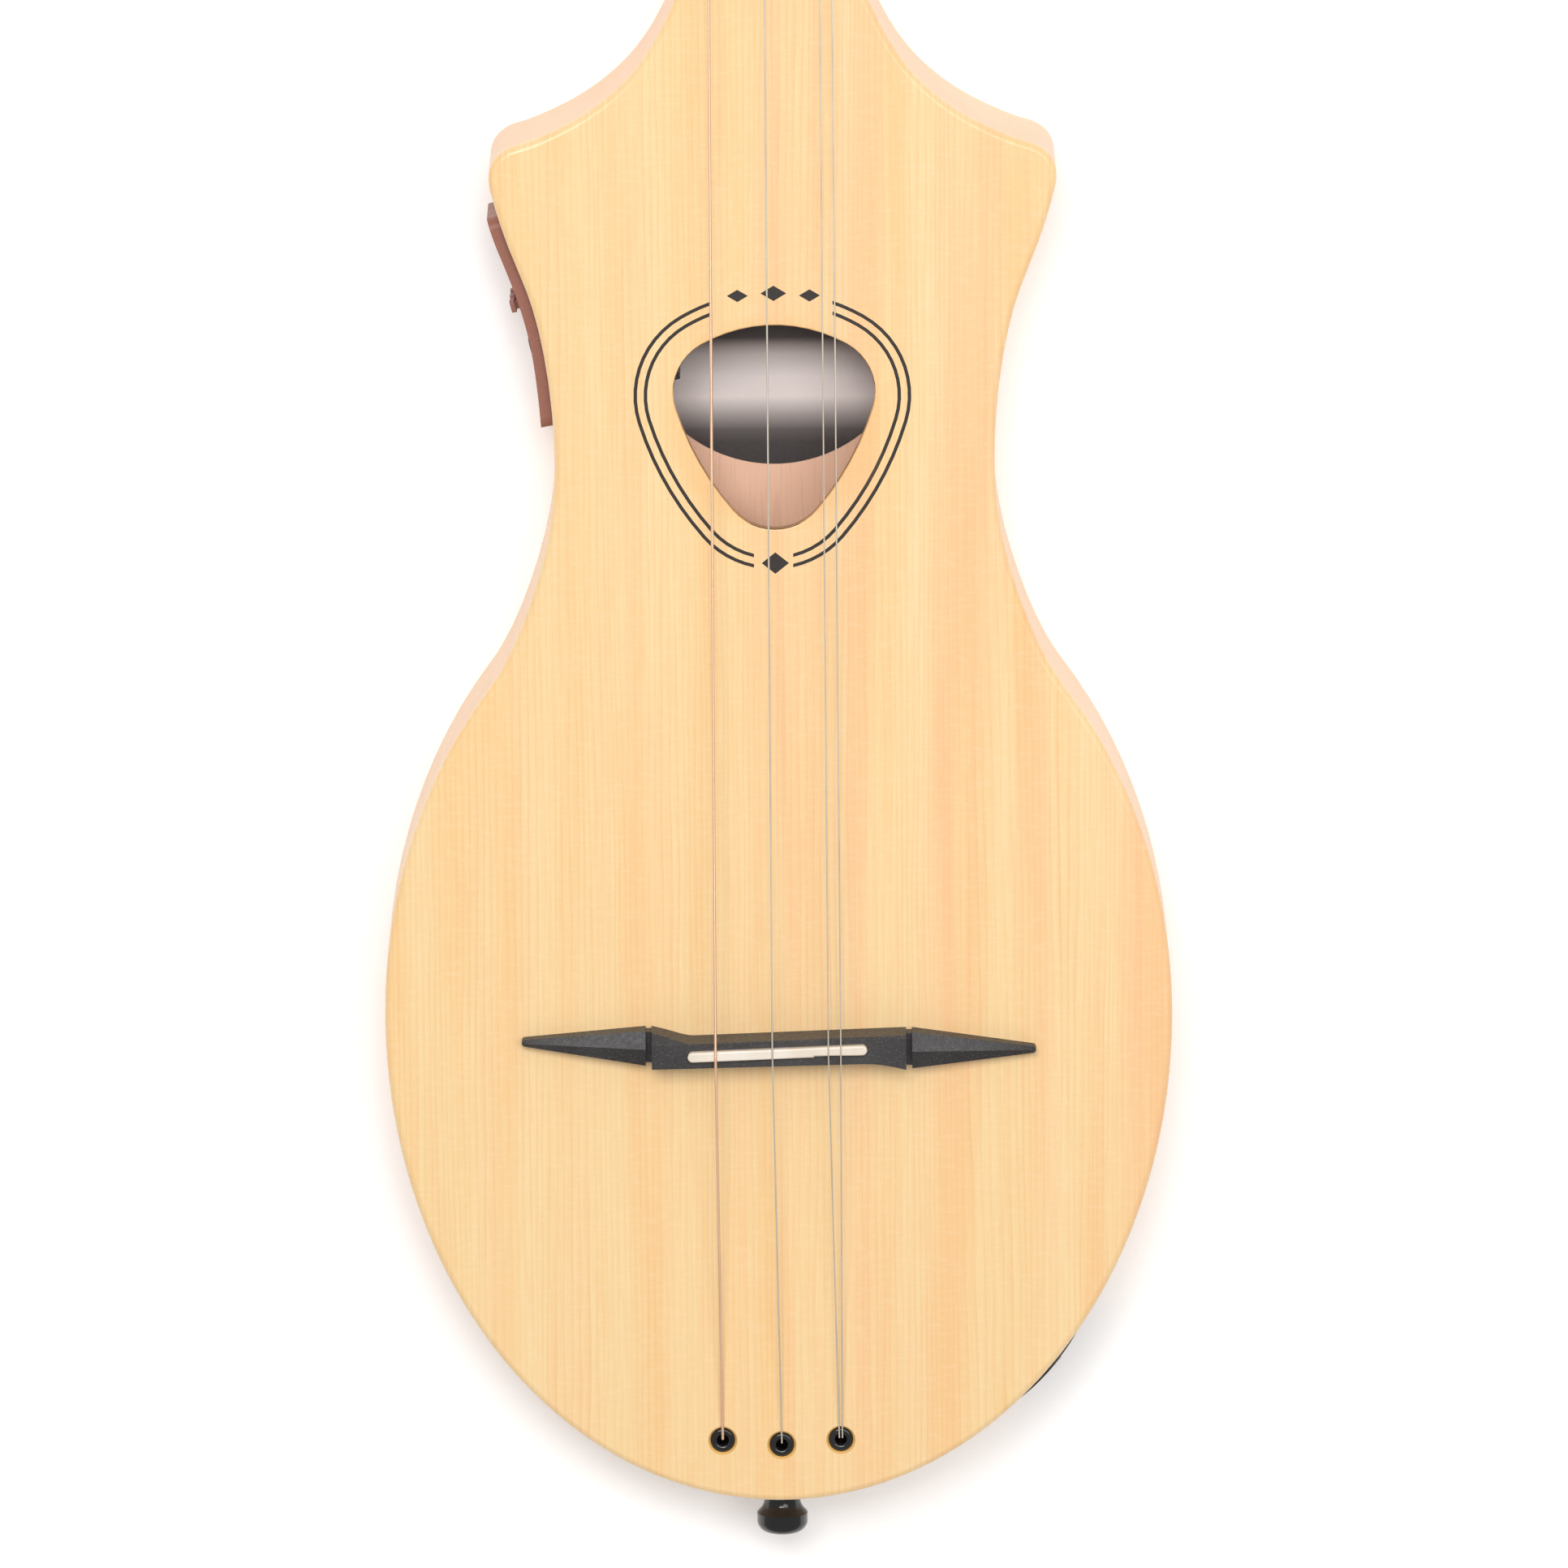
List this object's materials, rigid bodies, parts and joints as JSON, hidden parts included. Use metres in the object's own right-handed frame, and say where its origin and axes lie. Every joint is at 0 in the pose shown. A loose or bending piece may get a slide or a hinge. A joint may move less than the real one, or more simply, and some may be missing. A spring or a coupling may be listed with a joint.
{
  "type": "stick dulcimer",
  "caption": "Fretted stick dulcimer with a waisted, horned body, string-through tail, winged bridge, geared tuners, side preamp with sliders and an output jack.",
  "frame": {"origin": "middle of the bounding box at the back face, lying on its back", "axes": "+Z out of the soundboard, +Y towards the headstock, +X to the treble side"},
  "size_m": [0.2028, 0.8848, 0.0508],
  "materials": {
    "maple": "satin lacquer",
    "spruce": "satin lacquer",
    "spruce_inner": "sawn, bare",
    "rosewood": "oiled",
    "label_paper": "printed with a plain gradient",
    "bridge_plastic": "speckled composite",
    "bone_plastic": "polished",
    "nickel": "nickel plate",
    "chrome": "polished",
    "brass": "turned",
    "gloss_black": "gloss black",
    "panel_plastic": "reddish brown, fine texture",
    "black_plastic": "moulded",
    "board": "glass-fibre board",
    "black_rubber": "matte",
    "display": "clear over black",
    "bronze_wound": "phosphor bronze winding",
    "plain_steel": "bright wire",
    "button_plastic": "gloss black"
  },
  "bodies": {
    "instrument": {"body_shell": "maple", "soundboard": "spruce", "transverse_braces": "spruce_inner", "label": "label_paper", "bridge": "bridge_plastic", "saddle": "bone_plastic", "pickup_strip": "nickel", "top_ferrules": "gloss_black", "back_ferrules": "nickel", "ball_ends": "brass", "strap_button": "gloss_black", "strap_button_screw": "nickel", "preamp_panel": "panel_plastic", "preamp_housing": "black_plastic", "circuit_board": "board", "display_window": "display", "panel_screws": "gloss_black", "jack_plate": "black_plastic", "jack_plate_screws": "nickel", "jack_socket": "nickel", "jack_nut": "nickel", "jack_contacts": "nickel", "pickup_lead": "black_rubber", "output_lead": "black_rubber", "neck": "maple", "fingerboard": "rosewood", "nut": "bone_plastic", "frets": "nickel", "fret_markers": "bone_plastic", "tuner_housings": "chrome", "tuner_covers": "chrome", "tuner_bushings": "chrome", "tuner_screws": "chrome", "string_1": "bronze_wound", "string_2": "plain_steel", "string_3": "plain_steel", "string_4": "plain_steel"},
    "knob_1": {"worm_1": "plain_steel", "tuner_button_1": "button_plastic"},
    "spool_1": {"post_1": "chrome", "gear_1": "brass"},
    "knob_2": {"worm_2": "plain_steel", "tuner_button_2": "button_plastic"},
    "spool_2": {"post_2": "chrome", "gear_2": "brass"},
    "knob_3": {"worm_3": "plain_steel", "tuner_button_3": "button_plastic"},
    "spool_3": {"post_3": "chrome", "gear_3": "brass"},
    "knob_4": {"worm_4": "plain_steel", "tuner_button_4": "button_plastic"},
    "spool_4": {"post_4": "chrome", "gear_4": "brass"},
    "volume_control": {"volume_slider": "panel_plastic"},
    "bass_control": {"bass_slider": "panel_plastic"},
    "treble_control": {"treble_slider": "panel_plastic"},
    "tuner_key": {"tuner_switch": "black_rubber"},
    "battery_drawer": {"battery_tray": "panel_plastic", "coin_cells": "nickel"}
  },
  "joints": [
    {"name": "knob_1_turn", "type": "hinge", "parent": "instrument", "child": "knob_1", "pos_m": [-0.0185, 0.36091, 0.01424], "axis": [-1, 0, 0], "continuous": true},
    {"name": "post_1_turn", "type": "hinge", "parent": "instrument", "child": "spool_1", "pos_m": [-0.0185, 0.35721, 0.03355], "axis": [0, 0.1392, 0.9903], "continuous": true},
    {"name": "knob_2_turn", "type": "hinge", "parent": "instrument", "child": "knob_2", "pos_m": [-0.0185, 0.41241, 0.00701], "axis": [-1, 0, 0], "continuous": true},
    {"name": "post_2_turn", "type": "hinge", "parent": "instrument", "child": "spool_2", "pos_m": [-0.0185, 0.40871, 0.02631], "axis": [0, 0.1392, 0.9903], "continuous": true},
    {"name": "knob_3_turn", "type": "hinge", "parent": "instrument", "child": "knob_3", "pos_m": [0.0185, 0.41241, 0.00701], "axis": [1, 0, 0], "continuous": true},
    {"name": "post_3_turn", "type": "hinge", "parent": "instrument", "child": "spool_3", "pos_m": [0.0185, 0.40871, 0.02631], "axis": [0, 0.1392, 0.9903], "continuous": true},
    {"name": "knob_4_turn", "type": "hinge", "parent": "instrument", "child": "knob_4", "pos_m": [0.0185, 0.36091, 0.01424], "axis": [1, 0, 0], "continuous": true},
    {"name": "post_4_turn", "type": "hinge", "parent": "instrument", "child": "spool_4", "pos_m": [0.0185, 0.35721, 0.03355], "axis": [0, 0.1392, 0.9903], "continuous": true},
    {"name": "volume_slide", "type": "slide", "parent": "instrument", "child": "volume_control", "axis": [-0.245, 0.9695, 0], "range_m": [-0.0075, 0.0075]},
    {"name": "bass_slide", "type": "slide", "parent": "instrument", "child": "bass_control", "axis": [-0.245, 0.9695, 0], "range_m": [-0.0075, 0.0075]},
    {"name": "treble_slide", "type": "slide", "parent": "instrument", "child": "treble_control", "axis": [-0.245, 0.9695, 0], "range_m": [-0.0075, 0.0075]},
    {"name": "tuner_switch_press", "type": "slide", "parent": "instrument", "child": "tuner_key", "axis": [0.9695, 0.245, 0], "range_m": [0, 0.0008], "stiffness_N_per_m": 400, "springref_m": -0.0005},
    {"name": "battery_drawer_slide", "type": "slide", "parent": "instrument", "child": "battery_drawer", "axis": [-0.9695, -0.245, 0], "range_m": [0, 0.024]}
  ],
  "couplings": [
    {"joint": "post_1_turn", "follows": "knob_1_turn", "ratio": 0.071429},
    {"joint": "post_2_turn", "follows": "knob_2_turn", "ratio": 0.071429},
    {"joint": "post_3_turn", "follows": "knob_3_turn", "ratio": 0.071429},
    {"joint": "post_4_turn", "follows": "knob_4_turn", "ratio": 0.071429}
  ]
}
